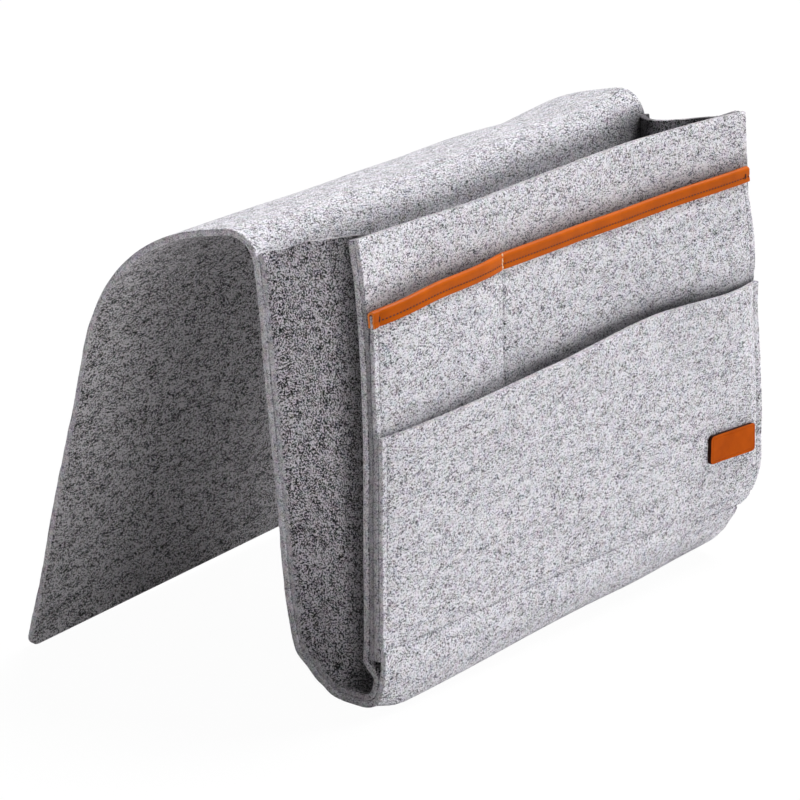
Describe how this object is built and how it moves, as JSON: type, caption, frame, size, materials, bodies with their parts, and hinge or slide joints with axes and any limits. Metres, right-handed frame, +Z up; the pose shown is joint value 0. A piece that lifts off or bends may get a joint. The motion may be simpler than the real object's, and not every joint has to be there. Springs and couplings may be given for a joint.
{
  "type": "bedside caddy",
  "caption": "Felt bedside caddy with layered front pockets, a leather bound edge, gusseted ends and a flap that tucks under a mattress.",
  "frame": {"origin": "middle of the bounding box, on the surface that the caddy stands on", "axes": "+X across the width, to the right as seen from the front; -Y is the front with the pockets; +Y is the flap's side; +Z up"},
  "size_m": [0.32, 0.2338, 0.2305],
  "materials": {
    "felt": "heather grey wool felt, matt, with fine darker and lighter fibres",
    "leather": "burnt orange tan leather, semi-matt",
    "grey_thread": "grey sewing thread sunk into the felt",
    "cream_thread": "cream sewing thread",
    "brown_thread": "dark brown sewing thread"
  },
  "bodies": {
    "back_wall": {"back_panel": "felt", "bottom_panel": "felt", "front_bend": "felt", "crest": "felt", "flap_bend": "felt", "gusset_left": "felt", "gusset_right": "felt", "back_seam_left": "grey_thread", "back_seam_right": "grey_thread"},
    "front_wall": {"front_panel": "felt", "upper_pocket": "felt", "lower_pocket": "felt", "leather_binding": "leather", "leather_label": "leather", "binding_seam_left": "brown_thread", "binding_seam_right": "brown_thread", "pocket_base_seam": "grey_thread", "divider_seam": "cream_thread", "side_seam_left": "cream_thread", "side_seam_right": "cream_thread"},
    "flap": {"flap": "felt"}
  },
  "joints": [
    {"name": "flap_fold", "type": "hinge", "parent": "back_wall", "child": "flap", "pos_m": [0, 0.03544, 0.20912], "axis": [1, 0, 0], "range_deg": [-42, 80], "stiffness_Nm_per_rad": 2, "deforming": ["flap_bend"]},
    {"name": "mouth_close", "type": "hinge", "parent": "back_wall", "child": "front_wall", "pos_m": [0, -0.09787, 0.00908], "axis": [-1, 0, 0], "range_deg": [0, 8], "stiffness_Nm_per_rad": 1.2, "deforming": ["front_bend", "gusset_left", "gusset_right"]}
  ]
}
